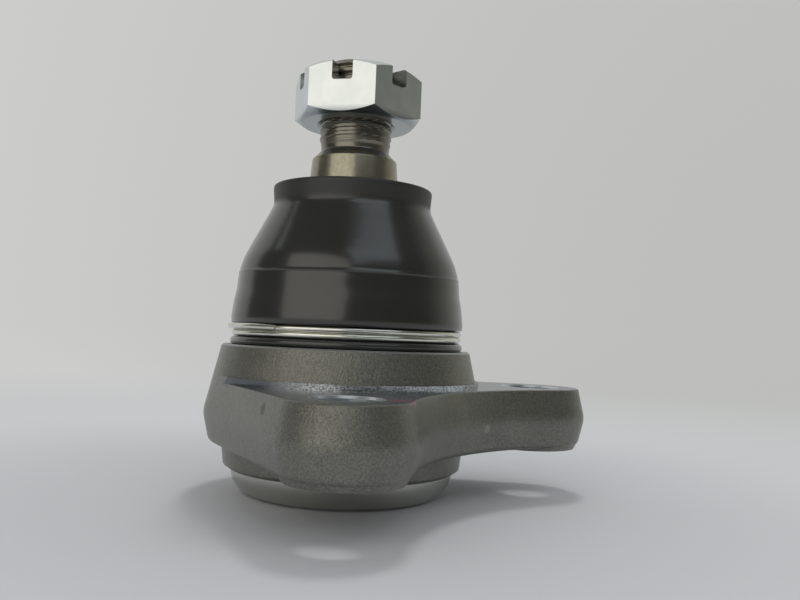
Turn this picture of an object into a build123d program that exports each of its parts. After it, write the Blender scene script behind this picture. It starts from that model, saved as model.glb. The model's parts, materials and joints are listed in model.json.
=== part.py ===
from build123d import *
import os
from math import acos, atan2, cos, degrees, radians, sin, sqrt, tan

# Suspension ball joint with a two-ear bolt flange, standing on its closed end.
# Origin: centre of the rest face under the closing cap. +Z runs up along the stud.
# The ears point towards -Y, mirrored about the YZ plane. Sizes are millimetres.

os.makedirs("parts", exist_ok=True)

# Bolt flange
bolt_spacing = 60.0
bolt_radius = 38.7  # stud axis to each bolt hole
bolt_hole_r = 5.25
hole_chamfer = 0.4
ear_r = 11.1  # rounded ear end, at the forging's parting plane
web_reach = 27.6  # stud axis to the hollow edge between the ears
flange_bottom_z = 9.6
pad_r = 9.8  # raised pad under each bolt hole
pad_z = 8.95
pad_rise = 1.3
pad_draft = 25.0
parting_z = 15.0
flange_face_z = 20.9  # milled mounting face
face_edge = 0.5
step_top_z = 22.0  # unmilled ledge that the cutter leaves round the cone
step_r = 25.5

# Forged body round the stud axis
body_r = 26.45  # widest, at the parting plane
rim_z = 27.6
rim_edge = 0.3
upper_draft = 12.9
lower_draft = 13.0
underside_fillet = 1.3
parting_fillet = 5.0
edge_pick = 0.01  # how far an edge's centre may lie from the parting plane
base_r = 22.9
foot_r = 22.4
foot_z = 5.6
ledge_r = 21.4
lip_root_z = 4.9
curl_r = 4.5  # outside radius of the lip rolled over the closing cap
curl_centre_r = 16.4
lip_edge_r = 15.2

# Boot seat on top of the body
collar_r = 19.8
collar_top_z = 32.6
collar_chamfer = 0.6
clamp_groove_r = 18.9
clamp_low_z = 29.2
clamp_high_z = 31.4

# Ball and the room it turns in
ball_r = 13.5
ball_z = 21.0
ball_flat = 1.0
tilt_limit = 25.0
neck_r = 7.0
mouth_gap = 0.5
running_gap = 0.05
seat_wall = 1.7
upper_seat_top = 6.9  # above the ball's centre
seat_joint = 3.1  # below the ball's centre
seat_joint_gap = 0.4
grease_hole_r = 4.0

# Closing cap and the disc spring on it
cap_r = 17.6
cap_t = 2.9
cap_low_z = 1.3
cap_boss_r = 8.5
cap_boss_slope = 1.0
spring_outer_r = 12.5
spring_inner_r = 6.0
spring_rise = 0.4
spring_t = 0.8

# Stud above the ball
taper_ratio = 6.0  # length over change of diameter
gauge_r = 8.4
gauge_z = 61.0
neck_top_z = 38.0
shoulder_z = 44.5
neck_flare = (0.3, 1)  # direction in which the neck runs into the taper
taper_low_z = 47.0
taper_high_z = 63.6
relief_r = 6.6
thread_r = 6.93
thread_low_z = 66.8
stud_top_z = 82.0
stud_chamfer = 1.0
pin_hole_r = 1.6
pin_hole_z = 77.4

# Slotted nut
nut_flats = 22.0
nut_low_z = 70.55
nut_h = 9.9
nut_chamfer = 34.0
nut_land_r = 10.6
nut_countersink = 0.7
slot_w = 3.9
slot_depth = 3.8
slot_corner_r = 0.5
flat_direction = -97.0  # the way one flat faces, degrees round +Z from +X

# Dust boot
boot_bead_r = 21.9
boot_bead_top_z = 29.1
boot_groove_r = 20.75
boot_r = 22.1
boot_low_z = 31.5
boot_full_z = 32.6
boot_wall = 2.1
cone_low = (19.6, 45.2)  # radius and height where the boot's side runs straight
cone_high = (15.6, 53.3)
boot_neck = (15.1, 54.8)
boot_lip = (15.35, 57.2)
boot_top_z = 58.0
boot_lip_edge = 0.3
lip_bottom_z = 53.4
bore_gap = 0.3
insert_inner_r = 9.6
insert_outer_r = 12.6
insert_low_z = 54.9
insert_t = 1.2

# Clamp ring, two turns of round wire
wire_r = 0.55
wire_pitch = 1.07
wire_mean_r = 21.35


def polar(radius, angle):
    return Vector(radius * cos(radians(angle)), radius * sin(radians(angle)))


def across(point):
    return Vector(-point.X, point.Y)


def draft_in(height, angle):
    return height * tan(radians(angle))


def chord_r(sphere_r, offset):
    return sqrt(sphere_r**2 - offset**2)


def on_ball(sphere_r, angle):
    return (sphere_r * cos(radians(angle)), ball_z + sphere_r * sin(radians(angle)))


def taper_r(z):
    return gauge_r + (gauge_z - z) / (2 * taper_ratio)


# The stud's neck sweeps a cone at full tilt; the mouth stands clear of it.
mouth_base_r = neck_r / cos(radians(tilt_limit)) + mouth_gap
mouth_slope = tan(radians(tilt_limit))


def mouth_r(z):
    return mouth_base_r + mouth_slope * (z - ball_z)


# Plan outline of the forging: a round body, two ear ends, straight flanks
# tangent to both, and one hollow arc tangent to the two ear ends.
ear_x = bolt_spacing / 2
ear_y = -sqrt(bolt_radius**2 - ear_x**2)
ear_centre = Vector(ear_x, ear_y)
web_sink = web_reach + ear_y
web_r = (ear_x**2 + web_sink**2 - ear_r**2) / (2 * (ear_r - web_sink))
web_centre = Vector(0, -(web_reach + web_r))
web_end = ear_centre + (web_centre - ear_centre).normalized() * ear_r
ear_tip = ear_centre + ear_centre.normalized() * ear_r
flank_turn = degrees(acos((body_r - ear_r) / bolt_radius))
flank = polar(1, degrees(atan2(ear_y, ear_x)) + flank_turn)
ear_flank = ear_centre + flank * ear_r
body_flank = flank * body_r

bore_r = ball_r + running_gap + seat_wall + running_gap
mouth_low = (
    sqrt(bore_r**2 * (1 + mouth_slope**2) - mouth_base_r**2) - mouth_base_r * mouth_slope
) / (1 + mouth_slope**2)
cap_top_z = cap_low_z + cap_t

with BuildSketch(Plane.XY.offset(parting_z)) as outline:
    with BuildLine():
        ThreePointArc(across(web_end), (0, -web_reach), web_end)
        ThreePointArc(web_end, ear_tip, ear_flank)
        Line(ear_flank, body_flank)
        ThreePointArc(body_flank, (0, body_r), across(body_flank))
        Line(across(body_flank), across(ear_flank))
        ThreePointArc(across(ear_flank), across(ear_tip), across(web_end))
    make_face()

# The low step that the milling cutter leaves round the foot of the cone.
with BuildPart() as step:
    extrude(outline.sketch, step_top_z - parting_z, taper=upper_draft)
    with BuildSketch(Plane.XY.offset(parting_z)):
        Circle(step_r)
    extrude(amount=step_top_z - parting_z, mode=Mode.INTERSECT)

# Housing: forged in two halves about the parting plane, then turned and milled.
with BuildPart() as housing:
    extrude(outline.sketch, flange_face_z - parting_z, taper=upper_draft)
    fillet(housing.faces().sort_by(Axis.Z)[-1].edges(), face_edge)
    extrude(outline.sketch, parting_z - flange_bottom_z, dir=(0, 0, -1), taper=lower_draft)
    fillet(housing.faces().sort_by(Axis.Z)[0].edges(), underside_fillet)
    parting_edges = housing.edges().filter_by_position(
        Axis.Z, parting_z - edge_pick, parting_z + edge_pick
    )
    fillet(parting_edges, parting_fillet)
    with BuildSketch(Plane.XY.offset(pad_z + pad_rise)):
        with Locations((ear_x, ear_y), (-ear_x, ear_y)):
            Circle(pad_r)
    extrude(amount=-pad_rise, taper=pad_draft)
    add(step.part)
    with BuildSketch(Plane.XZ):
        with BuildLine():
            curl_45 = curl_r * sin(radians(45))
            curl_top = (curl_centre_r + curl_r, curl_r)
            curl_foot = (curl_centre_r, 0)
            ThreePointArc(
                curl_foot, (curl_centre_r + curl_45, curl_r - curl_45), curl_top
            )
            Polyline(
                curl_top,
                (curl_centre_r + curl_r, lip_root_z),
                (ledge_r, lip_root_z),
                (foot_r, foot_z),
                (base_r, flange_bottom_z),
                (base_r, parting_z),
                (0, parting_z),
                (0, 0),
                curl_foot,
            )
        make_face()
    revolve(axis=Axis.Z)
    with BuildSketch(Plane.XZ):
        with BuildLine():
            Polyline(
                (0, step_top_z),
                (body_r - draft_in(step_top_z - parting_z, upper_draft), step_top_z),
                (body_r - draft_in(rim_z - rim_edge - parting_z, upper_draft), rim_z - rim_edge),
                (body_r - draft_in(rim_z - parting_z, upper_draft) - rim_edge, rim_z),
                (collar_r, rim_z),
                (collar_r, clamp_low_z),
                (clamp_groove_r, clamp_low_z),
                (clamp_groove_r, clamp_high_z),
                (collar_r, clamp_high_z),
                (collar_r, collar_top_z - collar_chamfer),
                (collar_r - collar_chamfer, collar_top_z),
                (0, collar_top_z),
                close=True,
            )
        make_face()
    revolve(axis=Axis.Z)
    # Cap seat, bore, ball socket and tilt mouth, in one turned cavity.
    with BuildSketch(Plane.XZ):
        with BuildLine():
            cap_room_r = cap_r + running_gap
            bore_top = (bore_r, ball_z)
            socket_top = (chord_r(bore_r, mouth_low), ball_z + mouth_low)
            socket_mid = degrees(atan2(mouth_low, socket_top[0])) / 2
            Polyline(
                (0, 0),
                (lip_edge_r, 0),
                (lip_edge_r, cap_low_z),
                (cap_room_r, cap_low_z),
                (cap_room_r, cap_top_z),
                (bore_r, cap_top_z),
                bore_top,
            )
            ThreePointArc(bore_top, on_ball(bore_r, socket_mid), socket_top)
            Polyline(
                socket_top,
                (mouth_r(collar_top_z), collar_top_z),
                (0, collar_top_z),
                (0, 0),
            )
        make_face()
    revolve(axis=Axis.Z, mode=Mode.SUBTRACT)
    with BuildSketch(Plane.XY.offset(flange_face_z)):
        with Locations((ear_x, ear_y), (-ear_x, ear_y)):
            Circle(bolt_hole_r)
    extrude(amount=pad_z - flange_face_z, mode=Mode.SUBTRACT)
    for face_z, depth in ((flange_face_z, -hole_chamfer), (pad_z, hole_chamfer)):
        with BuildSketch(Plane.XY.offset(face_z)):
            with Locations((ear_x, ear_y), (-ear_x, ear_y)):
                Circle(bolt_hole_r + hole_chamfer)
        extrude(amount=depth, taper=45, mode=Mode.SUBTRACT)
housing.part.label = "housing"

# Closing cap: a pressed disc whose flat boss comes level with the rolled lip.
with BuildPart() as closing_cap:
    with BuildSketch(Plane.XZ):
        with BuildLine():
            Polyline(
                (0, 0),
                (cap_boss_r, 0),
                (cap_boss_r + cap_boss_slope, cap_low_z),
                (cap_r, cap_low_z),
                (cap_r, cap_top_z),
                (cap_boss_r, cap_top_z),
                (cap_boss_r - cap_boss_slope, cap_top_z - cap_low_z),
                (0, cap_top_z - cap_low_z),
                close=True,
            )
        make_face()
    revolve(axis=Axis.Z)
closing_cap.part.label = "closing_cap"

# Disc spring: a shallow cone that presses the seats on to the ball.
with BuildPart() as disc_spring:
    with BuildSketch(Plane.XZ):
        with BuildLine():
            Polyline(
                (spring_outer_r, cap_top_z),
                (spring_outer_r, cap_top_z + spring_t),
                (spring_inner_r, cap_top_z + spring_t + spring_rise),
                (spring_inner_r, cap_top_z + spring_rise),
                close=True,
            )
        make_face()
    revolve(axis=Axis.Z)
disc_spring.part.label = "disc_spring"

seat_inner_r = ball_r + running_gap
seat_outer_r = bore_r - running_gap

# Lower ball seat: a cup with a grease hole in its floor.
with BuildPart() as lower_ball_seat:
    with BuildSketch(Plane.XZ):
        with BuildLine():
            floor_z = cap_top_z + spring_t + spring_rise
            lower_top_z = ball_z - seat_joint - seat_joint_gap / 2
            lower_rim = (chord_r(seat_inner_r, ball_z - lower_top_z), lower_top_z)
            cup_low = (grease_hole_r, ball_z - chord_r(seat_inner_r, grease_hole_r))
            cup_mid = degrees(
                (atan2(lower_rim[1] - ball_z, lower_rim[0])
                 + atan2(cup_low[1] - ball_z, cup_low[0])) / 2
            )
            ThreePointArc(cup_low, on_ball(seat_inner_r, cup_mid), lower_rim)
            Polyline(
                lower_rim,
                (seat_outer_r, lower_top_z),
                (seat_outer_r, floor_z + seat_wall),
                (seat_outer_r - seat_wall, floor_z),
                (grease_hole_r, floor_z),
                cup_low,
            )
        make_face()
    revolve(axis=Axis.Z)
lower_ball_seat.part.label = "lower_ball_seat"

# Upper ball seat: a liner between the ball and the housing's socket.
with BuildPart() as upper_ball_seat:
    with BuildSketch(Plane.XZ):
        with BuildLine():
            liner_top_z = ball_z + upper_seat_top
            liner_low_z = ball_z - seat_joint + seat_joint_gap / 2
            inner_top = (chord_r(seat_inner_r, upper_seat_top), liner_top_z)
            inner_low = (chord_r(seat_inner_r, ball_z - liner_low_z), liner_low_z)
            outer_top = (chord_r(seat_outer_r, upper_seat_top), liner_top_z)
            outer_mid = degrees(atan2(upper_seat_top, outer_top[0])) / 2
            ThreePointArc(inner_low, (seat_inner_r, ball_z), inner_top)
            Line(inner_top, outer_top)
            ThreePointArc(outer_top, on_ball(seat_outer_r, outer_mid), (seat_outer_r, ball_z))
            Polyline((seat_outer_r, ball_z), (seat_outer_r, liner_low_z), inner_low)
        make_face()
    revolve(axis=Axis.Z)
upper_ball_seat.part.label = "upper_ball_seat"

# Ball stud: ball, waisted neck, ground taper, relief groove and threaded end.
with BuildPart() as ball_stud:
    with BuildSketch(Plane.XZ):
        with BuildLine():
            flat_r = chord_r(ball_r, ball_r - ball_flat)
            ball_low = (flat_r, ball_z - ball_r + ball_flat)
            ball_high = (neck_r, ball_z + chord_r(ball_r, neck_r))
            neck_top = (neck_r, neck_top_z)
            shoulder = (taper_r(taper_low_z), shoulder_z)
            ThreePointArc(ball_low, (ball_r, ball_z), ball_high)
            Line(ball_high, neck_top)
            Spline(neck_top, shoulder, tangents=((0, 1), neck_flare))
            Polyline(
                shoulder,
                (taper_r(taper_low_z), taper_low_z),
                (taper_r(taper_high_z), taper_high_z),
                (relief_r, taper_high_z + taper_r(taper_high_z) - relief_r),
                (relief_r, thread_low_z),
                (thread_r, thread_low_z + thread_r - relief_r),
                (thread_r, stud_top_z - stud_chamfer),
                (thread_r - stud_chamfer, stud_top_z),
                (0, stud_top_z),
                (0, ball_low[1]),
                ball_low,
            )
        make_face()
    revolve(axis=Axis.Z)
    # Cross hole for the split pin; the loose nut's slots stand half a flat away from it.
    pin_way = polar(1, flat_direction + 30)
    with BuildSketch(Plane(origin=(0, 0, pin_hole_z), z_dir=(pin_way.X, pin_way.Y, 0))):
        Circle(pin_hole_r)
    extrude(amount=2 * thread_r, both=True, mode=Mode.SUBTRACT)
ball_stud.part.label = "ball_stud"

# Slotted nut: a chamfered hexagon with a slot across each flat.
with BuildPart() as slotted_nut:
    corner_r = nut_flats / sqrt(3)
    nut_drop = (corner_r - nut_land_r) * tan(radians(nut_chamfer))
    nut_high_z = nut_low_z + nut_h
    with BuildSketch(Plane.XY.offset(nut_low_z)):
        RegularPolygon(nut_flats / 2, 6, major_radius=False, rotation=flat_direction + 30)
    extrude(amount=nut_h)
    with BuildSketch(Plane.XZ):
        with BuildLine():
            Polyline(
                (0, nut_low_z),
                (nut_land_r, nut_low_z),
                (corner_r, nut_low_z + nut_drop),
                (corner_r, nut_high_z - nut_drop),
                (nut_land_r, nut_high_z),
                (0, nut_high_z),
                close=True,
            )
        make_face()
    revolve(axis=Axis.Z, mode=Mode.INTERSECT)
    for side in range(3):
        slot_way = polar(1, flat_direction + 60 * side)
        slot_plane = Plane(
            origin=(0, 0, nut_high_z - slot_depth),
            x_dir=(-slot_way.Y, slot_way.X, 0),
            z_dir=(slot_way.X, slot_way.Y, 0),
        )
        with BuildSketch(slot_plane) as slot:
            Rectangle(slot_w, 2 * slot_depth, align=(Align.CENTER, Align.MIN))
            fillet(slot.vertices().group_by(Axis.Z)[0], slot_corner_r)
        extrude(amount=corner_r, both=True, mode=Mode.SUBTRACT)
    with BuildSketch(Plane.XZ):
        with BuildLine():
            nut_bore_r = thread_r + running_gap
            Polyline(
                (0, nut_low_z),
                (nut_bore_r + nut_countersink, nut_low_z),
                (nut_bore_r, nut_low_z + nut_countersink),
                (nut_bore_r, nut_high_z - nut_countersink),
                (nut_bore_r + nut_countersink, nut_high_z),
                (0, nut_high_z),
                close=True,
            )
        make_face()
    revolve(axis=Axis.Z, mode=Mode.SUBTRACT)
slotted_nut.part.label = "slotted_nut"

# Dust boot: moulded rubber from the clamp groove up to the sealing lip.
with BuildPart() as dust_boot:
    with BuildSketch(Plane.XZ):
        with BuildLine():
            inner_r = collar_r + running_gap
            cone_way = Vector(cone_high[0] - cone_low[0], cone_high[1] - cone_low[1])
            inward = Vector(-cone_way.Y, cone_way.X).normalized() * boot_wall
            inner_cone_low = (cone_low[0] + inward.X, cone_low[1] + inward.Y)
            inner_cone_high = (cone_high[0] + inward.X, cone_high[1] + inward.Y)
            lip_bore_low = (taper_r(lip_bottom_z) + bore_gap, lip_bottom_z)
            lip_bore_high = (taper_r(boot_top_z) + bore_gap, boot_top_z)
            Polyline(
                (inner_r, rim_z),
                (boot_bead_r, rim_z),
                (boot_bead_r, boot_bead_top_z),
                (boot_groove_r, boot_bead_top_z),
                (boot_groove_r, boot_low_z),
                (boot_r, boot_low_z),
                (boot_r, boot_full_z),
            )
            Spline((boot_r, boot_full_z), cone_low, tangents=((0, 1), cone_way))
            Line(cone_low, cone_high)
            Spline(cone_high, boot_neck, boot_lip)
            Polyline(boot_lip, (boot_lip[0] - boot_lip_edge, boot_top_z), lip_bore_high, lip_bore_low)
            Polyline(lip_bore_low, (inner_cone_high[0], lip_bottom_z), inner_cone_high, inner_cone_low)
            Spline(
                inner_cone_low,
                (inner_r, boot_full_z),
                tangents=(-cone_way, (0, -1)),
            )
            Line((inner_r, boot_full_z), (inner_r, rim_z))
        make_face()
    revolve(axis=Axis.Z)
    with BuildSketch(Plane.XZ):
        with Locations((insert_outer_r / 2, insert_low_z + insert_t / 2)):
            Rectangle(insert_outer_r, insert_t)
    revolve(axis=Axis.Z, mode=Mode.SUBTRACT)
dust_boot.part.label = "dust_boot"

# Lip insert: a flat steel ring that holds the boot's lip round on the stud.
with BuildPart() as boot_lip_insert:
    with BuildSketch(Plane.XY.offset(insert_low_z)):
        Circle(insert_outer_r)
        Circle(insert_inner_r, mode=Mode.SUBTRACT)
    extrude(amount=insert_t)
boot_lip_insert.part.label = "boot_lip_insert"

# Clamp ring: two wire turns side by side in the boot's groove.
with BuildPart() as boot_clamp_ring:
    with BuildSketch(Plane.XZ):
        ring_z = (clamp_low_z + clamp_high_z) / 2
        with Locations(
            (wire_mean_r, ring_z - wire_pitch / 2), (wire_mean_r, ring_z + wire_pitch / 2)
        ):
            Circle(wire_r)
    revolve(axis=Axis.Z)
boot_clamp_ring.part.label = "boot_clamp_ring"

for piece in (
    housing,
    closing_cap,
    disc_spring,
    lower_ball_seat,
    upper_ball_seat,
    ball_stud,
    dust_boot,
    boot_lip_insert,
    boot_clamp_ring,
    slotted_nut,
):
    export_step(piece.part, f"parts/{piece.part.label}.step")
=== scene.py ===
import bpy
import json
from math import atan2, cos, degrees, hypot, pi, radians, sin, tan
from mathutils import Matrix, Vector

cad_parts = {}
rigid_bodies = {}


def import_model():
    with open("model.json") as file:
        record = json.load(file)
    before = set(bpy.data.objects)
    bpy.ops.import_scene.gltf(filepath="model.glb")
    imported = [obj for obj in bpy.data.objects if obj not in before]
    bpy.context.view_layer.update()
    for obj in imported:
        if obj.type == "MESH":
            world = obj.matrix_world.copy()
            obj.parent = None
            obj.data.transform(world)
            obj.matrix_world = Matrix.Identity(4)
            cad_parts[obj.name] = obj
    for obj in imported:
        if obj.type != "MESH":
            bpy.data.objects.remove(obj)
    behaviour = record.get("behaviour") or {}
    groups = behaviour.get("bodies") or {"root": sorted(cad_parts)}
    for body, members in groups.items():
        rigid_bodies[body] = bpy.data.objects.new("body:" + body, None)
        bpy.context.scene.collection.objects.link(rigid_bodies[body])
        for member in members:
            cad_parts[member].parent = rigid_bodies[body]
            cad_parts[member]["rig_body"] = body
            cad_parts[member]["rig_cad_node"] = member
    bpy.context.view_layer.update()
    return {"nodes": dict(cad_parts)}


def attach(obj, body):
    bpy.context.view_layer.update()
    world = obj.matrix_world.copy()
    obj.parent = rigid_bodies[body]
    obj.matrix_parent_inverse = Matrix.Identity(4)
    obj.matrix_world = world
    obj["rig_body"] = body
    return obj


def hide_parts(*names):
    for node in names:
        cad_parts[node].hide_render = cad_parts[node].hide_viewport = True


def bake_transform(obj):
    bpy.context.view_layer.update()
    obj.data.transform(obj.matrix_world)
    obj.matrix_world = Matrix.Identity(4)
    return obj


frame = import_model()
nodes = frame["nodes"]
mm = 0.001  # the object and the camera's place are in millimetres, and the studio is in metres
mergeWithin = 0.002 * mm


def deselectAll():
    if bpy.context.mode != "OBJECT":
        bpy.ops.object.mode_set(mode="OBJECT")
    bpy.ops.object.select_all(action="DESELECT")


def pickOnly(piece):
    deselectAll()
    piece.select_set(True)
    bpy.context.view_layer.objects.active = piece


def smoothStep(low, high, value):
    share = min(max((value - low) / (high - low), 0), 1)
    return share * share * (3 - 2 * share)


# Points of a smooth line through a few measured ones, at an even step in height.
def smoothLine(points, step):
    last = len(points) - 1
    slopes = []
    for i in range(last + 1):
        (r0, z0), (r1, z1) = points[max(i - 1, 0)], points[min(i + 1, last)]
        slopes.append((r1 - r0) / (z1 - z0))
    line = []
    for i in range(last):
        (r0, z0), (r1, z1) = points[i], points[i + 1]
        span = z1 - z0
        count = max(1, round(abs(span) / step))
        for k in range(count):
            t = k / count
            radius = ((2 * t**3 - 3 * t**2 + 1) * r0 + (t**3 - 2 * t**2 + t) * span * slopes[i]
                      + (-2 * t**3 + 3 * t**2) * r1 + (t**3 - t**2) * span * slopes[i + 1])
            line.append((radius, z0 + span * t))
    return line + [points[-1]]


# Merges the doubles of a finished mesh and turns its faces outwards, from edit mode.
def closeMesh():
    bpy.ops.mesh.select_all(action="SELECT")
    bpy.ops.mesh.remove_doubles(threshold=mergeWithin)
    bpy.ops.mesh.normals_make_consistent(inside=False)
    bpy.ops.object.mode_set(mode="OBJECT")


# A turned piece: one vertex is extruded along half a section, in (radius, height), then spun round Z.
def turnPiece(name, section, turnSteps, closedSection=False):
    deselectAll()
    bpy.ops.mesh.primitive_plane_add(size=mm, location=(0, 0, 0))
    piece = bpy.context.object
    piece.name = name
    piece.data.name = name
    bpy.ops.object.mode_set(mode="EDIT")
    bpy.ops.mesh.select_all(action="SELECT")
    bpy.ops.mesh.merge(type="CENTER")
    lastRadius, lastHeight = section[0]
    bpy.ops.transform.translate(value=(lastRadius * mm, 0, lastHeight * mm))
    path = section[1:] + [section[0]] if closedSection else section[1:]
    for radius, height in path:
        step = ((radius - lastRadius) * mm, 0, (height - lastHeight) * mm)
        bpy.ops.mesh.extrude_region_move(TRANSFORM_OT_translate={"value": step})
        lastRadius, lastHeight = radius, height
    bpy.ops.mesh.select_all(action="SELECT")
    bpy.ops.mesh.spin(steps=turnSteps, angle=2 * pi, center=(0, 0, 0), axis=(0, 0, 1))
    closeMesh()
    return piece


# A copy of a CAD node as one merged mesh, ready for finer edges.
def mergedCopy(nodeName, name):
    source = nodes[nodeName]
    piece = source.copy()
    piece.data = source.data.copy()
    piece.name = name
    piece.data.name = name
    piece.parent = None
    for key in ("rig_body", "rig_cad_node"):  # the copy is a piece of its own
        del piece[key]
    bpy.context.scene.collection.objects.link(piece)
    pickOnly(piece)
    if piece.data.has_custom_normals:
        bpy.ops.mesh.customdata_custom_splitnormals_clear()
    bpy.ops.object.mode_set(mode="EDIT")
    bpy.ops.mesh.select_all(action="SELECT")
    bpy.ops.mesh.remove_doubles(threshold=mergeWithin)
    bpy.ops.object.mode_set(mode="OBJECT")
    return piece


def applyModifier(piece, kind, **settings):
    pickOnly(piece)
    bpy.ops.object.modifier_add(type=kind)
    modifier = piece.modifiers[-1]
    for key, value in settings.items():
        setattr(modifier, key, value)
    bpy.ops.object.modifier_apply(modifier=modifier.name)


def smoothUnder(piece, degreesAllowed):
    pickOnly(piece)
    bpy.ops.object.shade_smooth_by_angle(angle=radians(degreesAllowed))


# Colours are sRGB hex, as a paint chart gives them.
def colour(hexText):
    channels = [int(hexText[i:i + 2], 16) / 255 for i in (1, 3, 5)]
    linear = [c / 12.92 if c <= 0.04045 else ((c + 0.055) / 1.055) ** 2.4 for c in channels]
    return (*linear, 1)


def addNode(tree, kind, settings=None, values=None, links=None):
    node = tree.nodes.new(kind)
    for key, value in (settings or {}).items():
        setattr(node, key, value)
    for socket, value in (values or {}).items():
        node.inputs[socket].default_value = value
    for socket, source in (links or {}).items():
        tree.links.new(source, node.inputs[socket])
    return node


# A new material with an empty tree, and the place on the piece that its patterns follow.
def startMaterial(name):
    material = bpy.data.materials.new(name)
    material.use_nodes = True
    tree = material.node_tree
    tree.nodes.clear()
    return material, tree, addNode(tree, "ShaderNodeTexCoord").outputs["Object"]


def dress(piece, material):
    piece.data.materials.clear()
    piece.data.materials.append(material)


housingLook = {
    "forged": "#7b7b76",
    "forgedDark": "#5a5a57",
    "shotPeak": "#a3a294",
    "machined": "#6c7074",
    # bright cut metal, and the colour of the painted glints and highlights
    "brightCutAndHighlight": "#c8ced2",
    "lip": "#b0b0aa",
    "roughness": 0.31,
    "workedRoughness": 0.24,
    "metallic": 0.9,
    "faceMetallic": 0.7,
    "workedBump": 0.12,  # what a cutter or a roller leaves of the blasted texture
    "cloudMm": 8.0,
    "gritMm": 0.3,  # shot marks, drawn at about twice their real width so that they show
    "gritDeepMm": 0.11,
    "pitMm": 1.3,
    "pitDeepMm": 0.06,
    "peakFrom": 0.36,  # the part of the grit pattern that catches light
    "peakTo": 0.66,
    "glintTo": 0.6,
    "peakShare": 0.4,
    "faceZ": 20.9,
    "faceHalfZ": 0.04,
    "stepR": 25.5,
    "stepHalfR": 0.06,
    "stepMiddleZ": 21.45,
    "stepHalfZ": 0.6,
    "glintSideFromY": -4.0,  # the painted glints on the step wall show only on the ears' side, fading in between these
    "glintSideToY": -12.0,
    "rimMiddleZ": 27.45,
    "rimHalfZ": 0.17,
    "rimLightening": 0.3,
    "lipZ": 4.9,
    "holeAt": (30.0, 24.4477, 0.0),
    "holeEdgeR": 5.45,
    "holeHalfR": 0.28,
    "marks": {  # small marks on the forging: place, radius and colour
        "markingPaint": ((-25.4, -31.0, 20.55), 2.2, "#c06a88"),
        "darkNick": ((-35.7, -13.2, 18.6), 1.1, "#4b4a47"),
        "brightNick": ((6.5, -28.0, 14.1), 1.1, "#93928c"),
    },
    "markCore": 0.6,  # a mark fades from here to its edge, in shares of its radius
    "markRagged": 0.8,
    "markCover": 0.85,
}


# Where a tool has passed: milled face, step wall, boot seat's rim, bolt holes and rolled lip, each 1 inside.
def workedZones(tree, place, look):
    height = addNode(tree, "ShaderNodeSeparateXYZ", links={0: place}).outputs["Z"]
    flat = addNode(tree, "ShaderNodeVectorMath", {"operation": "MULTIPLY"},
                   {1: (1, 1, 0)}, {0: place}).outputs[0]
    radius = addNode(tree, "ShaderNodeVectorMath", {"operation": "LENGTH"}, links={0: flat}).outputs["Value"]
    mirrored = addNode(tree, "ShaderNodeVectorMath", {"operation": "ABSOLUTE"}, links={0: flat}).outputs[0]
    fromHole = addNode(tree, "ShaderNodeVectorMath", {"operation": "DISTANCE"},
                       {1: tuple(v * mm for v in look["holeAt"])}, {0: mirrored}).outputs["Value"]
    zones = {}
    for name, measure, middle, half in (
        ("face", height, look["faceZ"], look["faceHalfZ"]),
        ("stepRound", radius, look["stepR"], look["stepHalfR"]),
        ("stepTall", height, look["stepMiddleZ"], look["stepHalfZ"]),
        ("rim", height, look["rimMiddleZ"], look["rimHalfZ"]),
        ("hole", fromHole, look["holeEdgeR"], look["holeHalfR"]),
    ):
        zones[name] = addNode(tree, "ShaderNodeMath", {"operation": "COMPARE"},
                              {1: middle * mm, 2: half * mm}, {0: measure}).outputs[0]
    zones["lip"] = addNode(tree, "ShaderNodeMath", {"operation": "LESS_THAN"},
                           {1: look["lipZ"] * mm}, {0: height}).outputs[0]
    for name, operation, first, second in (
        ("step", "MULTIPLY", "stepRound", "stepTall"),
        ("cut", "MAXIMUM", "step", "face"),
        ("machined", "MAXIMUM", "cut", "hole"),
        ("worked", "MAXIMUM", "machined", "lip"),
    ):
        zones[name] = addNode(tree, "ShaderNodeMath", {"operation": operation},
                              links={0: zones[first], 1: zones[second]}).outputs[0]
    return zones


# A mark's cover: a round spot whose edge the pits make ragged.
def markCover(tree, place, pits, markPlace, markR, look):
    away = addNode(tree, "ShaderNodeVectorMath", {"operation": "DISTANCE"},
                   {1: tuple(v * mm for v in markPlace)}, {0: place}).outputs["Value"]
    ragged = look["markRagged"] * markR * mm
    shift = addNode(tree, "ShaderNodeMath", {"operation": "MULTIPLY_ADD"},
                    {1: 2 * ragged, 2: -ragged}, {0: pits}).outputs[0]
    edge = addNode(tree, "ShaderNodeMath", {"operation": "ADD"}, links={0: away, 1: shift}).outputs[0]
    return addNode(tree, "ShaderNodeMapRange", {"interpolation_type": "SMOOTHSTEP"},
                   {"From Min": markR * mm, "From Max": look["markCore"] * markR * mm,
                    "To Max": look["markCover"]}, {"Value": edge}).outputs[0]
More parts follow.
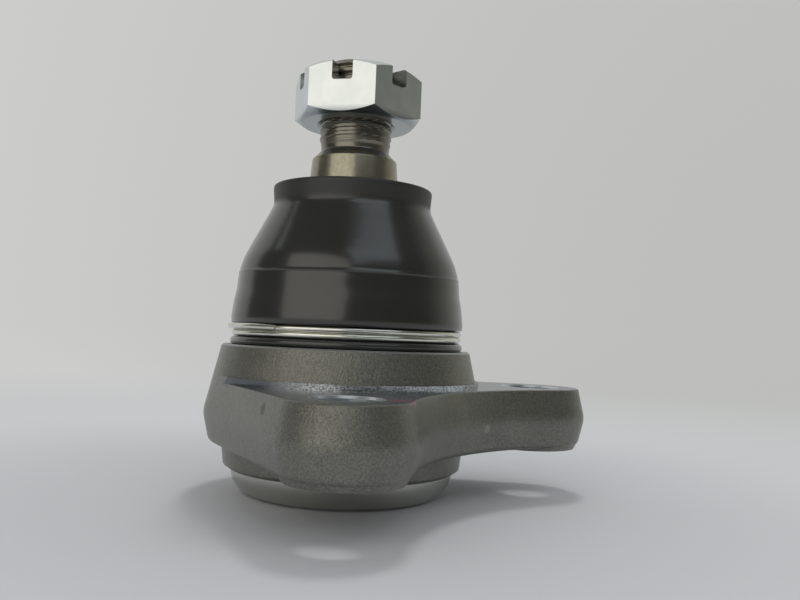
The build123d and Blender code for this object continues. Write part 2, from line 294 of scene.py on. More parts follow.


# Shot-blasted steel forging: dull grey with a sparkling grit, smoother and bluer where a cutter has passed,
# with painted glints on the step wall and a painted highlight round each bolt hole.
def shotBlastedForging(look):
    material, tree, place = startMaterial("shotBlastedForging")
    cloud = addNode(tree, "ShaderNodeTexNoise",
                    values={"Scale": 1 / (look["cloudMm"] * mm), "Detail": 3.0},
                    links={"Vector": place}).outputs["Fac"]
    grit = addNode(tree, "ShaderNodeTexNoise",
                   values={"Scale": 1 / (look["gritMm"] * mm), "Detail": 3.0, "Roughness": 0.65},
                   links={"Vector": place}).outputs["Fac"]
    pits = addNode(tree, "ShaderNodeTexNoise",
                   values={"Scale": 1 / (look["pitMm"] * mm), "Detail": 2.0},
                   links={"Vector": place}).outputs["Fac"]
    zones = workedZones(tree, place, look)

    peaks = addNode(tree, "ShaderNodeMapRange", {"interpolation_type": "SMOOTHSTEP"},
                    {"From Min": look["peakFrom"], "From Max": look["peakTo"], "To Max": look["peakShare"]},
                    {"Value": grit}).outputs[0]
    glints = addNode(tree, "ShaderNodeMapRange", {"interpolation_type": "SMOOTHSTEP"},
                     {"From Min": look["peakFrom"], "From Max": look["glintTo"]}, {"Value": grit}).outputs[0]
    depthAlong = addNode(tree, "ShaderNodeSeparateXYZ", links={0: place}).outputs["Y"]
    glintSide = addNode(tree, "ShaderNodeMapRange",
                        values={"From Min": look["glintSideFromY"] * mm,
                                "From Max": look["glintSideToY"] * mm},
                        links={"Value": depthAlong}).outputs[0]
    # Painted highlights: grit specks on the step wall, on the ears' side only, and a ring round each bolt
    # hole take the bright colour.
    cutGlints = zones["step"]
    for operation, share in (("MULTIPLY", glints), ("MULTIPLY", glintSide), ("MAXIMUM", zones["hole"])):
        cutGlints = addNode(tree, "ShaderNodeMath", {"operation": operation},
                            links={0: cutGlints, 1: share}).outputs[0]
    # The boot seat's rim is drawn a little lighter.
    rimLightening = addNode(tree, "ShaderNodeMath", {"operation": "MULTIPLY"},
                      {1: look["rimLightening"]}, {0: zones["rim"]}).outputs[0]

    layers = [
        (peaks, look["shotPeak"]),
        (zones["machined"], look["machined"]),
        (cutGlints, look["brightCutAndHighlight"]),
        (rimLightening, look["brightCutAndHighlight"]),
        (zones["lip"], look["lip"]),
    ]
    for markPlace, markR, markColour in look["marks"].values():
        layers.append((markCover(tree, place, pits, markPlace, markR, look), markColour))
    tint = addNode(tree, "ShaderNodeMix", {"data_type": "RGBA"},
                   {6: colour(look["forgedDark"]), 7: colour(look["forged"])}, {0: cloud}).outputs[2]
    for share, coat in layers:
        tint = addNode(tree, "ShaderNodeMix", {"data_type": "RGBA"},
                       {7: colour(coat)}, {0: share, 6: tint}).outputs[2]

    roughness = addNode(tree, "ShaderNodeMapRange",
                        values={"To Min": look["roughness"], "To Max": look["workedRoughness"]},
                        links={"Value": zones["worked"]}).outputs[0]
    bareness = addNode(tree, "ShaderNodeMapRange",
                       values={"To Min": look["metallic"], "To Max": look["faceMetallic"]},
                       links={"Value": zones["face"]}).outputs[0]
    strength = addNode(tree, "ShaderNodeMapRange", values={"To Min": 1.0, "To Max": look["workedBump"]},
                       links={"Value": zones["worked"]}).outputs[0]
    pitted = addNode(tree, "ShaderNodeBump", values={"Distance": look["pitDeepMm"] * mm},
                     links={"Height": pits, "Strength": strength}).outputs[0]
    gritted = addNode(tree, "ShaderNodeBump", values={"Distance": look["gritDeepMm"] * mm},
                      links={"Height": grit, "Strength": strength, "Normal": pitted}).outputs[0]
    shader = addNode(tree, "ShaderNodeBsdfPrincipled",
                     links={"Base Color": tint, "Metallic": bareness, "Roughness": roughness,
                            "Normal": gritted})
    addNode(tree, "ShaderNodeOutputMaterial", links={0: shader.outputs[0]})
    return material


capLook = {"steel": "#7d7d78", "stain": "#5d5c57", "stainMm": 6.0, "scratchMm": 0.3, "scratchDeepMm": 0.03}


# Pressed sheet steel: dull and even, with light oil stains and fine scratches.
def pressedSheetSteel(look):
    material, tree, place = startMaterial("pressedSheetSteel")
    stains = addNode(tree, "ShaderNodeTexNoise", values={"Scale": 1 / (look["stainMm"] * mm), "Detail": 4.0},
                     links={"Vector": place}).outputs["Fac"]
    tint = addNode(tree, "ShaderNodeMix", {"data_type": "RGBA"},
                   {6: colour(look["stain"]), 7: colour(look["steel"])}, {0: stains}).outputs[2]
    scratches = addNode(tree, "ShaderNodeTexNoise",
                        values={"Scale": 1 / (look["scratchMm"] * mm), "Detail": 2.0},
                        links={"Vector": place}).outputs["Fac"]
    normal = addNode(tree, "ShaderNodeBump", values={"Strength": 0.5, "Distance": look["scratchDeepMm"] * mm},
                     links={"Height": scratches}).outputs[0]
    shader = addNode(tree, "ShaderNodeBsdfPrincipled", values={"Metallic": 0.9, "Roughness": 0.4},
                     links={"Base Color": tint, "Normal": normal})
    addNode(tree, "ShaderNodeOutputMaterial", links={0: shader.outputs[0]})
    return material


springLook = {"blue": "#3b4048", "straw": "#5a5650", "temperMm": 3.0}


# Hardened spring steel: smooth, with the blue and straw of tempering.
def temperedSpringSteel(look):
    material, tree, place = startMaterial("temperedSpringSteel")
    temper = addNode(tree, "ShaderNodeTexNoise", values={"Scale": 1 / (look["temperMm"] * mm)},
                     links={"Vector": place}).outputs["Fac"]
    tint = addNode(tree, "ShaderNodeMix", {"data_type": "RGBA"},
                   {6: colour(look["blue"]), 7: colour(look["straw"])}, {0: temper}).outputs[2]
    shader = addNode(tree, "ShaderNodeBsdfPrincipled", values={"Metallic": 0.95, "Roughness": 0.32},
                     links={"Base Color": tint})
    addNode(tree, "ShaderNodeOutputMaterial", links={0: shader.outputs[0]})
    return material


seatLook = {"milky": "#e6e3d8", "shaded": "#d9d5c6", "flowMm": 5.0}


# Moulded acetal: milky natural plastic under a film of grease.
def greasedAcetal(look):
    material, tree, place = startMaterial("greasedAcetal")
    flow = addNode(tree, "ShaderNodeTexNoise", values={"Scale": 1 / (look["flowMm"] * mm)},
                   links={"Vector": place}).outputs["Fac"]
    tint = addNode(tree, "ShaderNodeMix", {"data_type": "RGBA"},
                   {6: colour(look["shaded"]), 7: colour(look["milky"])}, {0: flow}).outputs[2]
    shader = addNode(tree, "ShaderNodeBsdfPrincipled",
                     values={"Roughness": 0.28, "IOR": 1.48, "Coat Weight": 0.3, "Coat Roughness": 0.12},
                     links={"Base Color": tint})
    addNode(tree, "ShaderNodeOutputMaterial", links={0: shader.outputs[0]})
    return material


studLook = {
    "ground": "#a8a494",
    "groundDark": "#8b8674",
    "thread": "#7d7a71",
    "threadFromZ": 64.3,
    "cloudMm": 0.7,
    "grindLineMm": 0.16,  # grinding marks, drawn wider than real so that they show
    "grindDeepMm": 0.015,
    "grindStretch": 0.03,  # they run round the stud, so they change slowly in X and Y
}


# Ground and rolled alloy steel: fine lines run round the taper, the rolled thread is greyer.
def groundAlloySteel(look):
    material, tree, place = startMaterial("groundAlloySteel")
    height = addNode(tree, "ShaderNodeSeparateXYZ", links={0: place}).outputs["Z"]
    clouds = addNode(tree, "ShaderNodeTexNoise", values={"Scale": 1 / (look["cloudMm"] * mm), "Detail": 3.0},
                     links={"Vector": place}).outputs["Fac"]
    stretch = look["grindStretch"]
    stretched = addNode(tree, "ShaderNodeMapping", values={"Scale": (stretch, stretch, 1)},
                        links={"Vector": place}).outputs[0]
    lines = addNode(tree, "ShaderNodeTexNoise",
                    values={"Scale": 1 / (look["grindLineMm"] * mm), "Detail": 2.0},
                    links={"Vector": stretched}).outputs["Fac"]
    tint = addNode(tree, "ShaderNodeMix", {"data_type": "RGBA"},
                   {6: colour(look["groundDark"]), 7: colour(look["ground"])}, {0: clouds}).outputs[2]
    threaded = addNode(tree, "ShaderNodeMath", {"operation": "GREATER_THAN"},
                       {1: look["threadFromZ"] * mm}, {0: height}).outputs[0]
    tint = addNode(tree, "ShaderNodeMix", {"data_type": "RGBA"},
                   {7: colour(look["thread"])}, {0: threaded, 6: tint}).outputs[2]
    normal = addNode(tree, "ShaderNodeBump", values={"Strength": 0.6, "Distance": look["grindDeepMm"] * mm},
                     links={"Height": lines}).outputs[0]
    shader = addNode(tree, "ShaderNodeBsdfPrincipled", values={"Metallic": 0.95, "Roughness": 0.27},
                     links={"Base Color": tint, "Normal": normal})
    addNode(tree, "ShaderNodeOutputMaterial", links={0: shader.outputs[0]})
    return material


rubberLook = {
    "black": "#1e1e1d",
    "bloom": "#292927",
    "bloomMm": 7.0,
    "skinMm": 0.8,
    "skinDeepMm": 0.012,
    "lipFromZ": 53.8,
    "lipToZ": 55.0,
    "roughness": 0.23,
    "lipRoughness": 0.46,
    "gloss": 0.4,  # the polished mould's sheen, gone at the lip
    "lipGloss": 0.0,
}


# Chloroprene rubber from a polished mould: near black with a soft satin gloss, duller on the lip.
def mouldedChloroprene(look):
    material, tree, place = startMaterial("mouldedChloroprene")
    bloom = addNode(tree, "ShaderNodeTexNoise", values={"Scale": 1 / (look["bloomMm"] * mm), "Detail": 3.0},
                    links={"Vector": place}).outputs["Fac"]
    tint = addNode(tree, "ShaderNodeMix", {"data_type": "RGBA"},
                   {6: colour(look["black"]), 7: colour(look["bloom"])}, {0: bloom}).outputs[2]
    skin = addNode(tree, "ShaderNodeTexNoise", values={"Scale": 1 / (look["skinMm"] * mm)},
                   links={"Vector": place}).outputs["Fac"]
    normal = addNode(tree, "ShaderNodeBump", values={"Strength": 0.4, "Distance": look["skinDeepMm"] * mm},
                     links={"Height": skin}).outputs[0]
    height = addNode(tree, "ShaderNodeSeparateXYZ", links={0: place}).outputs["Z"]
    upTheLip = {"From Min": look["lipFromZ"] * mm, "From Max": look["lipToZ"] * mm}
    roughness = addNode(tree, "ShaderNodeMapRange",
                        values={**upTheLip, "To Min": look["roughness"], "To Max": look["lipRoughness"]},
                        links={"Value": height}).outputs[0]
    gloss = addNode(tree, "ShaderNodeMapRange",
                    values={**upTheLip, "To Min": look["gloss"], "To Max": look["lipGloss"]},
                    links={"Value": height}).outputs[0]
    shader = addNode(tree, "ShaderNodeBsdfPrincipled", values={"IOR": 1.53, "Coat Roughness": 0.14},
                     links={"Base Color": tint, "Roughness": roughness, "Coat Weight": gloss,
                            "Normal": normal})
    addNode(tree, "ShaderNodeOutputMaterial", links={0: shader.outputs[0]})
    return material


wireLook = {"bright": "#e6e6e0", "dull": "#c9c9bf", "drawMm": 1.5}


# Zinc-plated spring wire: bright and drawn smooth.
def zincPlatedWire(look):
    material, tree, place = startMaterial("zincPlatedWire")
    drawn = addNode(tree, "ShaderNodeTexNoise", values={"Scale": 1 / (look["drawMm"] * mm)},
                    links={"Vector": place}).outputs["Fac"]
    tint = addNode(tree, "ShaderNodeMix", {"data_type": "RGBA"},
                   {6: colour(look["dull"]), 7: colour(look["bright"])}, {0: drawn}).outputs[2]
    shader = addNode(tree, "ShaderNodeBsdfPrincipled", values={"Metallic": 1.0, "Roughness": 0.2},
                     links={"Base Color": tint})
    addNode(tree, "ShaderNodeOutputMaterial", links={0: shader.outputs[0]})
    return material


nutLook = {
    "zinc": "#e4e8e9",
    "zincDull": "#c9cfd0",
    "under": "#9da3a6",
    "underFromZ": 72.0,
    "underToZ": 70.9,
    "cloudMm": 3.5,
    "plateMm": 0.5,
    "plateDeepMm": 0.012,
}


# Clear-passivated zinc plate: bluish white and bright, slightly cloudy, with painted shade making it greyer
# towards the underside.
def clearZincPlate(look):
    material, tree, place = startMaterial("clearZincPlate")
    clouds = addNode(tree, "ShaderNodeTexNoise", values={"Scale": 1 / (look["cloudMm"] * mm), "Detail": 3.0},
                     links={"Vector": place}).outputs["Fac"]
    tint = addNode(tree, "ShaderNodeMix", {"data_type": "RGBA"},
                   {6: colour(look["zincDull"]), 7: colour(look["zinc"])}, {0: clouds}).outputs[2]
    height = addNode(tree, "ShaderNodeSeparateXYZ", links={0: place}).outputs["Z"]
    # Painted shade: the nut turns greyer towards its underside.
    shadedUnderside = addNode(tree, "ShaderNodeMapRange",
                     values={"From Min": look["underFromZ"] * mm, "From Max": look["underToZ"] * mm},
                     links={"Value": height}).outputs[0]
    tint = addNode(tree, "ShaderNodeMix", {"data_type": "RGBA"},
                   {7: colour(look["under"])}, {0: shadedUnderside, 6: tint}).outputs[2]
    fine = addNode(tree, "ShaderNodeTexNoise", values={"Scale": 1 / (look["plateMm"] * mm)},
                   links={"Vector": place}).outputs["Fac"]
    normal = addNode(tree, "ShaderNodeBump", values={"Strength": 0.5, "Distance": look["plateDeepMm"] * mm},
                     links={"Height": fine}).outputs[0]
    shader = addNode(tree, "ShaderNodeBsdfPrincipled", values={"Metallic": 1.0, "Roughness": 0.26},
                     links={"Base Color": tint, "Normal": normal})
    addNode(tree, "ShaderNodeOutputMaterial", links={0: shader.outputs[0]})
    return material


print("materials on the CAD nodes")
springSteel = temperedSpringSteel(springLook)
seatPlastic = greasedAcetal(seatLook)
for nodeName, material in (
    ("housing", shotBlastedForging(housingLook)),
    ("closing_cap", pressedSheetSteel(capLook)),
    ("disc_spring", springSteel),
    ("boot_lip_insert", springSteel),
    ("upper_ball_seat", seatPlastic),
    ("lower_ball_seat", seatPlastic),
):
    dress(nodes[nodeName], material)

print("ball stud")
stud = {
    "ballR": 13.5,
    "ballZ": 21.0,
    "flat": 1.0,
    "ballSteps": 36,
    "neckFlare": [(7.0, 38.0), (7.45, 40.4), (8.75, 42.9)],  # from the ball's neck out to the taper
    "flareStep": 0.5,
    "shoulderZ": 44.5,
    "taperLow": (9.566, 47.0),
    "taperHigh": (8.183, 63.6),
    "taperSlope": 1 / 12,
    "taperEdge": 0.15,
    "edgeRound": [(0.2, 0.1), (0.9, 0.75)],  # in and up from the taper's top, in shares of its edge
    "shankR": 6.6,
    "shankLowZ": 65.4,
    "rootRound": [(0.2, 0.2), (0.06, 0.02)],  # out and down from the corner at the shank's foot
    "crestR": 6.93,
    "swellFromZ": 65.9,
    "swellToZ": 67.8,
    "pitch": 1.5,
    "phase": -0.25,  # shifts the thread along the stud
    "crestHalf": 0.3,
    "flankDegrees": 30,  # half of the thread's 60 degrees
    "runOutDepth": 0.26,  # the dies leave the first turns shallow
    "fullDepth": 0.62,
    "runOutFromZ": 66.0,
    "runOutToZ": 68.6,
    "fullFromZ": 69.8,
    "fullToZ": 72.5,
    "topZ": 82.0,
    "chamfer": 1.0,
    "chamferSteps": 8,
    "endFaceR": 5.63,
    "threadStep": 0.075,
    "turnSteps": 144,
    "smoothUnder": 32,
}


def ballArc(look):
    ballR, neckR = look["ballR"], look["neckFlare"][0][0]
    low = look["flat"] - ballR
    startAngle = atan2(low, (ballR**2 - low**2) ** 0.5)
    endAngle = atan2((ballR**2 - neckR**2) ** 0.5, neckR)
    count = look["ballSteps"]
    angles = [startAngle + (endAngle - startAngle) * i / count for i in range(count + 1)]
    return [(ballR * cos(a), look["ballZ"] + ballR * sin(a)) for a in angles]


def studSection(look):
    section = [(0, look["ballZ"] - look["ballR"] + look["flat"])] + ballArc(look)
    section += smoothLine(look["neckFlare"] + [(look["taperLow"][0], look["shoulderZ"])], look["flareStep"])
    edge = look["taperEdge"]
    highR, highZ = look["taperHigh"]
    section += [look["taperLow"], (highR + edge * look["taperSlope"], highZ - edge)]
    section += [(highR - edge * inward, highZ + edge * up) for inward, up in look["edgeRound"]]
    shankR = look["shankR"]
    coneTopZ = highZ + highR - shankR
    section += [(shankR + out, coneTopZ - down) for out, down in look["rootRound"]]
    chamfer, chamferZ, firstZ = look["chamfer"], look["topZ"] - look["chamfer"], look["shankLowZ"]
    count = round((chamferZ - firstZ) / look["threadStep"])
    section += [(shankR, firstZ + (chamferZ - firstZ) * i / count) for i in range(count + 1)]
    for i in range(1, look["chamferSteps"] + 1):
        cut = chamfer * i / look["chamferSteps"]
        section.append((look["crestR"] - cut, chamferZ + cut))
    return section + [(look["endFaceR"], look["topZ"]), (0, look["topZ"])]


# The thread is a height field on the turned blank: the shank swells to the crest, then the grooves cut in.
def rollThread(piece, look):
    shankR, crestR, pitch = look["shankR"], look["crestR"], look["pitch"]
    chamferZ = look["topZ"] - look["chamfer"]
    slack = look["threadStep"] / 2
    for vertex in piece.data.vertices:
        radius = hypot(vertex.co.x, vertex.co.y) / mm
        z = vertex.co.z / mm
        if not look["shankLowZ"] - slack < z < look["topZ"] - slack:
            continue
        turn = atan2(vertex.co.y, vertex.co.x) / (2 * pi)
        blank = shankR + (crestR - shankR) * smoothStep(look["swellFromZ"], look["swellToZ"], z)
        depth = look["runOutDepth"] * smoothStep(look["runOutFromZ"], look["runOutToZ"], z)
        depth += (look["fullDepth"] - look["runOutDepth"]) * smoothStep(look["fullFromZ"], look["fullToZ"], z)
        fromCrest = abs((((z + look["phase"]) / pitch - turn) % 1) - 0.5) * pitch
        flank = max(fromCrest - look["crestHalf"], 0) / tan(radians(look["flankDegrees"]))
        newR = min(blank - min(flank, depth), crestR - max(0, z - chamferZ))
        vertex.co.x *= newR / radius
        vertex.co.y *= newR / radius


ballStud = turnPiece("ballStud", studSection(stud), stud["turnSteps"])
rollThread(ballStud, stud)
smoothUnder(ballStud, stud["smoothUnder"])
dress(ballStud, groundAlloySteel(studLook))
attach(ballStud, "stud_body")
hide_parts("ball_stud")

print("slotted nut")
nut = {
    "edge": 0.32,
    "edgeSegments": 3,
    "flatWithin": 1,  # degrees
    "sharpFrom": 28,
    "smoothUnder": 40,
    "flatWeight": 100,
}
slottedNut = mergedCopy("slotted_nut", "slottedNut")
bpy.ops.object.mode_set(mode="EDIT")
bpy.ops.mesh.select_all(action="SELECT")
bpy.ops.mesh.dissolve_limited(angle_limit=radians(nut["flatWithin"]))
bpy.ops.object.mode_set(mode="OBJECT")
applyModifier(slottedNut, "BEVEL", width=nut["edge"] * mm, segments=nut["edgeSegments"], limit_method="ANGLE",
              angle_limit=radians(nut["sharpFrom"]), use_clamp_overlap=True)
smoothUnder(slottedNut, nut["smoothUnder"])
applyModifier(slottedNut, "WEIGHTED_NORMAL", mode="FACE_AREA", weight=nut["flatWeight"], keep_sharp=True)
dress(slottedNut, clearZincPlate(nutLook))
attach(slottedNut, "nut_body")
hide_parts("slotted_nut")

print("dust boot")
boot = {
    "footLowZ": 27.6,
    "bead": [  # the rounded foot pressed against the housing's rim
        (21.55, 27.6), (21.74, 27.66), (21.93, 27.78), (22.06, 27.96), (22.12, 28.2), (22.12, 28.4),
        (22.07, 28.62), (21.97, 28.8), (21.8, 28.95), (21.6, 29.04), (21.4, 29.1),
    ],
    "grooveR": 20.75,
    "grooveTopZ": 31.5,
    "grooveCorner": 0.1,
    "bulgeFoot": [(21.75, 31.5), (21.93, 31.55), (22.02, 31.68)],
    "side": [
        (22.06, 31.9), (22.1, 32.6), (21.96, 34.0), (21.7, 36.0), (21.32, 38.0), (21.15, 40.0),
        (20.98, 41.0), (20.78, 42.0), (20.15, 44.0), (19.21, 46.0), (18.2, 48.0), (17.19, 50.0),
        (16.18, 52.0), (15.4, 53.6),
    ],
    "sideStep": 0.3,
    "partingZ": 41.0,  # where the two halves of the mould met
    "partingRise": 0.13,
    "partingHalf": 0.3,
    "lip": [(15.12, 54.4), (15.1, 55.0), (15.17, 56.0), (15.27, 57.2)],
    "lipEdge": [(15.28, 57.6), (15.2, 57.85), (15.0, 58.0)],
    "lipUnderR": 13.2,
    "topZ": 58.0,
    "boreLow": (9.333, 53.4),
    "boreHigh": (8.95, 58.0),
    "boreSlope": 1 / 12,
    "boreCorner": 0.2,
    "insertR": 12.6,
    "insertLowZ": 54.9,
    "insertT": 1.2,
    "wall": 2.1,
    "innerDrop": 0.9,  # the inner side is the outer one, moved in by the wall and down by this
    "innerFrom": 5,  # and it starts at this point of the outer one
    "innerStep": 0.8,
    "innerR": 19.85,
    "innerTopZ": 32.6,
    "turnSteps": 160,
    "smoothUnder": 40,
}


def bootSection(look):
    section = list(look["bead"])
    grooveR, grooveTopZ, corner = look["grooveR"], look["grooveTopZ"], look["grooveCorner"]
    grooveLowZ = section[-1][1]
    section += [(grooveR + corner, grooveLowZ), (grooveR, grooveLowZ + corner)]
    section += [(grooveR, grooveTopZ - corner), (grooveR + corner, grooveTopZ)]
    section += look["bulgeFoot"]
    for radius, height in smoothLine(look["side"], look["sideStep"]):
        rise = max(0, 1 - abs(height - look["partingZ"]) / look["partingHalf"])
        section.append((radius + look["partingRise"] * rise, height))
    section += smoothLine(look["lip"], look["sideStep"]) + look["lipEdge"]
    boreR, topZ = look["boreHigh"]
    section += [(boreR + look["boreCorner"], topZ), (boreR, topZ - look["boreCorner"])]
    insertR, lowZ = look["insertR"], look["insertLowZ"]
    highZ = lowZ + look["insertT"]
    highBoreR, lowBoreR = [boreR + (topZ - height) * look["boreSlope"] for height in (highZ, lowZ)]
    section += [(highBoreR, highZ), (insertR, highZ), (insertR, lowZ), (lowBoreR, lowZ)]  # holds the insert
    section += [look["boreLow"], (look["lipUnderR"], look["boreLow"][1])]
    outside = look["side"][look["innerFrom"]:]
    inside = [(radius - look["wall"], height - look["innerDrop"]) for radius, height in reversed(outside)]
    section += smoothLine(inside, look["innerStep"])
    return section + [(look["innerR"], look["innerTopZ"]), (look["innerR"], look["footLowZ"])]


dustBoot = turnPiece("dustBoot", bootSection(boot), boot["turnSteps"], closedSection=True)
smoothUnder(dustBoot, boot["smoothUnder"])
dress(dustBoot, mouldedChloroprene(rubberLook))
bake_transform(dustBoot)
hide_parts("dust_boot")

print("clamp ring")
ring = {
    "wireR": 0.55,
    "woundR": 21.35,
    "firstZ": 29.77,
    "pitch": 1.07,
    "startsAt": 75.0,  # degrees round from +X
    "crossFrom": 330.0,  # the rest of the angles are degrees of wire, counted from its start
    "crossTo": 360.0,
    "climbFrom": 645.0,
    "climbTo": 685.0,
    "climbOut": 0.78,  # the last stretch lies over the turn below it
    "climbUp": 0.14,
    "tuckFrom": 814.0,  # and its end is pressed back against that turn
    "tuckedShare": 0.35,
    "endsAfter": 829.0,
    "stepDegrees": 2.5,
    "smoothUnder": 50,
}


def wireRoute(look):
    count = round(look["endsAfter"] / look["stepDegrees"])
    route = []
    for i in range(count + 1):
        turn = look["endsAfter"] * i / count
        climb = smoothStep(look["climbFrom"], look["climbTo"], turn)
        climb *= 1 - (1 - look["tuckedShare"]) * smoothStep(look["tuckFrom"], look["endsAfter"], turn)
        radius = look["woundR"] + look["climbOut"] * climb
        height = look["firstZ"] + look["pitch"] * smoothStep(look["crossFrom"], look["crossTo"], turn)
        height += look["climbUp"] * climb
        angle = radians(look["startsAt"] + turn)
        route.append((radius * cos(angle) * mm, radius * sin(angle) * mm, height * mm))
    return route


def bendWire(name, route, wireR):
    deselectAll()
    bpy.ops.curve.primitive_nurbs_path_add(location=(0, 0, 0))
    wire = bpy.context.object
    wire.name = name
    curve = wire.data
    curve.splines.clear()
    spline = curve.splines.new("NURBS")
    spline.points.add(len(route) - 1)
    for point, place in zip(spline.points, route):
        point.co = (*place, 1)
    spline.order_u = 4
    spline.use_endpoint_u = True
    spline.resolution_u = 1
    curve.dimensions = "3D"
    curve.bevel_depth = wireR * mm
    curve.bevel_resolution = 5
    curve.use_fill_caps = True
    bpy.ops.object.convert(target="MESH")
    piece = bpy.context.object
    piece.data.name = name
    bpy.ops.object.mode_set(mode="EDIT")
    closeMesh()
    return piece


clampRing = bendWire("clampRing", wireRoute(ring), ring["wireR"])
smoothUnder(clampRing, ring["smoothUnder"])
dress(clampRing, zincPlatedWire(wireLook))
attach(clampRing, "housing_body")
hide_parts("boot_clamp_ring")

print("floor and backdrop")
stage = {
    "floorSize": 6.0,
    "floorCuts": 7,
    # painted shade makes the board darker round the object, fading out between these radii
    "boardPaintedShade": "#b9babc",
    "board": "#c4c5c6",
    "shadeFadesFromR": 0.045,
    "shadeFadesToR": 0.13,
    "fadeFromR": 0.08,  # the board runs into the backdrop between these
    "fadeToR": 0.42,
    "backdrop": "#cccccb",
    "backdropShade": "#bdbebb",
    "shadeFrom": 0.45,
    "shadeTo": 1.0,
    "skyTint": "#f2f4f6",
    "ambient": 0.72,
    "roomR": 2.6,
    "roomSegments": 72,
    "roomRings": 36,
    "roomFrom": 105.0,  # the dark cloth hangs between these, in degrees round from +X
    "roomTo": 352.0,
    "roomUp": 75.0,
    "roomDark": "#55554e",
    "roomPale": "#c4c4b9",
    "paleFrom": 0.5,
}


# The backdrop's paper, a little darker to one side.
def backdropPaper(tree, direction, look):
    across = addNode(tree, "ShaderNodeSeparateXYZ", links={0: direction}).outputs["X"]
    side = addNode(tree, "ShaderNodeMapRange",
                   values={"From Min": look["shadeFrom"], "From Max": look["shadeTo"]},
                   links={"Value": across}).outputs[0]
    return addNode(tree, "ShaderNodeMix", {"data_type": "RGBA"},
                   {6: colour(look["backdrop"]), 7: colour(look["backdropShade"])}, {0: side}).outputs[2]


# 1 for what is seen directly, mirrored in metal or through glass, and 0 for light on its way.
def seenRays(tree):
    rays = addNode(tree, "ShaderNodeLightPath")
    seen = rays.outputs["Is Camera Ray"]
    for kind in ("Is Glossy Ray", "Is Transmission Ray"):
        seen = addNode(tree, "ShaderNodeMath", {"operation": "MAXIMUM"},
                       links={0: seen, 1: rays.outputs[kind]}).outputs[0]
    return seen


# Painted board: matt and pale, with painted shade darkening it near the object, and it runs into the
# backdrop's tone further out.
def matPaintedBoard(look):
    material, tree, place = startMaterial("matPaintedBoard")
    radius = addNode(tree, "ShaderNodeVectorMath", {"operation": "LENGTH"}, links={0: place}).outputs["Value"]
    outward = addNode(tree, "ShaderNodeMapRange", {"interpolation_type": "SMOOTHSTEP"},
                      {"From Min": look["shadeFadesFromR"], "From Max": look["shadeFadesToR"]},
                      {"Value": radius}).outputs[0]
    tint = addNode(tree, "ShaderNodeMix", {"data_type": "RGBA"},
                   {6: colour(look["boardPaintedShade"]), 7: colour(look["board"])}, {0: outward}).outputs[2]
    board = addNode(tree, "ShaderNodeBsdfPrincipled", values={"Roughness": 0.7}, links={"Base Color": tint})
    direction = addNode(tree, "ShaderNodeVectorMath", {"operation": "NORMALIZE"}, links={0: place}).outputs[0]
    glow = addNode(tree, "ShaderNodeEmission", links={"Color": backdropPaper(tree, direction, look)})
    away = addNode(tree, "ShaderNodeMapRange", {"interpolation_type": "SMOOTHSTEP"},
                   {"From Min": look["fadeFromR"], "From Max": look["fadeToR"]}, {"Value": radius}).outputs[0]
    share = addNode(tree, "ShaderNodeMath", {"operation": "MULTIPLY"},
                    links={0: away, 1: seenRays(tree)}).outputs[0]
    mix = addNode(tree, "ShaderNodeMixShader", links={0: share, 1: board.outputs[0], 2: glow.outputs[0]})
    addNode(tree, "ShaderNodeOutputMaterial", links={0: mix.outputs[0]})
    return material


deselectAll()
bpy.ops.mesh.primitive_plane_add(size=stage["floorSize"], location=(0, 0, 0))
floor = bpy.context.object
floor.name = "floor"
bpy.ops.object.mode_set(mode="EDIT")
bpy.ops.mesh.subdivide(number_cuts=stage["floorCuts"])
bpy.ops.object.mode_set(mode="OBJECT")
dress(floor, matPaintedBoard(stage))

world = bpy.data.worlds.new("studio")
bpy.context.scene.world = world
world.use_nodes = True
sky = world.node_tree
sky.nodes.clear()
direction = addNode(sky, "ShaderNodeTexCoord").outputs["Generated"]
ambient = addNode(sky, "ShaderNodeBackground",
                  values={"Color": colour(stage["skyTint"]), "Strength": stage["ambient"]})
backdrop = addNode(sky, "ShaderNodeBackground", links={"Color": backdropPaper(sky, direction, stage)})
skyMix = addNode(sky, "ShaderNodeMixShader",
                 links={0: seenRays(sky), 1: ambient.outputs[0], 2: backdrop.outputs[0]})
addNode(sky, "ShaderNodeOutputWorld", links={"Surface": skyMix.outputs[0]})


# Dark cloth behind the camera side of the studio: only reflections show it.
def darkCloth(look):
    material, tree, place = startMaterial("darkCloth")
    across = addNode(tree, "ShaderNodeSeparateXYZ", links={0: place}).outputs["X"]
    share = addNode(tree, "ShaderNodeMapRange",
                    values={"From Min": look["paleFrom"] * look["roomR"], "From Max": look["roomR"]},
                    links={"Value": across}).outputs[0]
    tone = addNode(tree, "ShaderNodeMix", {"data_type": "RGBA"},
                   {6: colour(look["roomDark"]), 7: colour(look["roomPale"])}, {0: share}).outputs[2]
    cloth = addNode(tree, "ShaderNodeEmission", links={"Color": tone})
    addNode(tree, "ShaderNodeOutputMaterial", links={0: cloth.outputs[0]})
    return material


deselectAll()
bpy.ops.mesh.primitive_uv_sphere_add(segments=stage["roomSegments"], ring_count=stage["roomRings"],
                                     radius=stage["roomR"], location=(0, 0, 0))
darkRoom = bpy.context.object
darkRoom.name = "darkRoom"
bpy.ops.object.mode_set(mode="EDIT")
bpy.ops.mesh.select_all(action="DESELECT")
bpy.ops.mesh.select_mode(type="FACE")
bpy.ops.object.mode_set(mode="OBJECT")
for face in darkRoom.data.polygons:
    x, y, z = face.center
    around = degrees(atan2(y, x)) % 360
    up = degrees(atan2(z, hypot(x, y)))
    face.select = up < 0 or up > stage["roomUp"] or not stage["roomFrom"] < around < stage["roomTo"]
bpy.ops.object.mode_set(mode="EDIT")
bpy.ops.mesh.delete(type="FACE")
bpy.ops.object.mode_set(mode="OBJECT")
dress(darkRoom, darkCloth(stage))
darkRoom.visible_camera = False
darkRoom.visible_diffuse = False
darkRoom.visible_shadow = False

print("lamps and camera")
aimAt = Vector((0, 0, 0.04))  # the middle of the object
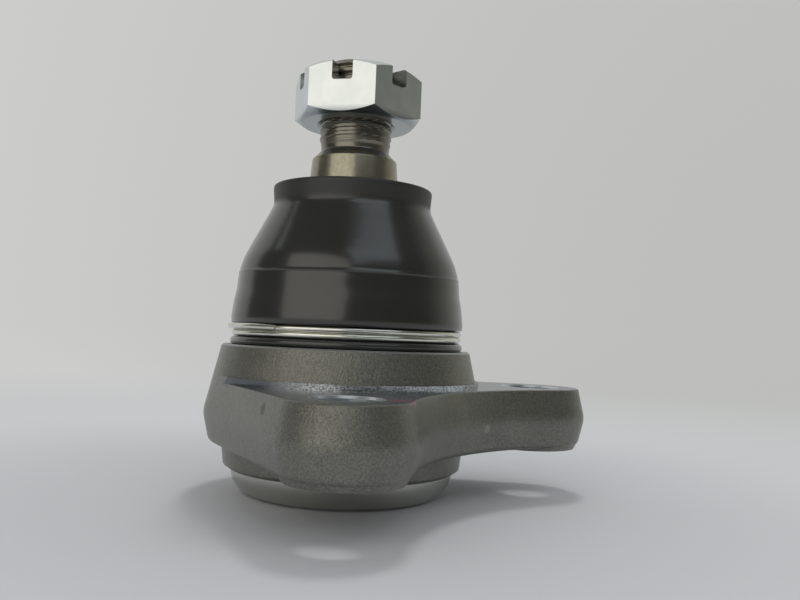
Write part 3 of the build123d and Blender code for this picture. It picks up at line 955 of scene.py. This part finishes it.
# Each lamp: its direction from there (degrees round from +X, degrees up), distance, size, power and tint,
# and whether the metal mirrors it.
lamps = {
    "softBox": {
        "around": 17, "up": 69, "away": 1.2, "size": (0.2, 0.2), "watts": 3.9, "tint": "#ffffff",
        "mirrored": False,
    },
    "warmWindow": {
        "around": 183, "up": 21, "away": 1.5, "size": (1.8, 1.15), "watts": 7.4, "tint": "#fffbf2",
        "mirrored": True,
    },
    "coolWindow": {
        "around": 250, "up": 49, "away": 1.5, "size": (1.2, 0.65), "watts": 2.8, "tint": "#dfeaf2",
        "mirrored": True,
    },
    "sideWindow": {
        "around": 117, "up": 39, "away": 1.5, "size": (0.14, 0.16), "watts": 0.07, "tint": "#e3edf4",
        "mirrored": True,
    },
}


def addLamp(name, look):
    around, up = radians(look["around"]), radians(look["up"])
    direction = Vector((cos(up) * cos(around), cos(up) * sin(around), sin(up)))
    deselectAll()
    bpy.ops.object.light_add(type="AREA", location=direction * look["away"] + aimAt)
    lamp = bpy.context.object
    lamp.name = name
    lamp.data.shape = "RECTANGLE"
    lamp.data.size, lamp.data.size_y = look["size"]
    lamp.data.energy = look["watts"]
    lamp.data.color = colour(look["tint"])[:3]
    lamp.rotation_euler = direction.to_track_quat("Z", "Y").to_euler()
    lamp.visible_camera = False
    lamp.visible_glossy = look["mirrored"]


for lampName, lampLook in lamps.items():
    addLamp(lampName, lampLook)

view = {"place": (-124.8, -99.47, 30.66), "heading": -55.0, "pitch": 2.339, "roll": 2.3, "lens": 37.09}
deselectAll()
bpy.ops.object.camera_add()
camera = bpy.context.object
camera.data.sensor_width = 36
camera.data.lens = view["lens"]
camera.data.clip_start = 0.01
camera.data.clip_end = 20
turnRound = Matrix.Rotation(radians(view["heading"]), 4, "Z")
lookUp = Matrix.Rotation(radians(90 + view["pitch"]), 4, "X")
lean = Matrix.Rotation(radians(view["roll"]), 4, "Z")
camera.matrix_world = Matrix.Translation(Vector(view["place"]) * mm) @ turnRound @ lookUp @ lean
bpy.context.scene.camera = camera
bpy.context.scene.view_settings.view_transform = "Standard"

print("done")
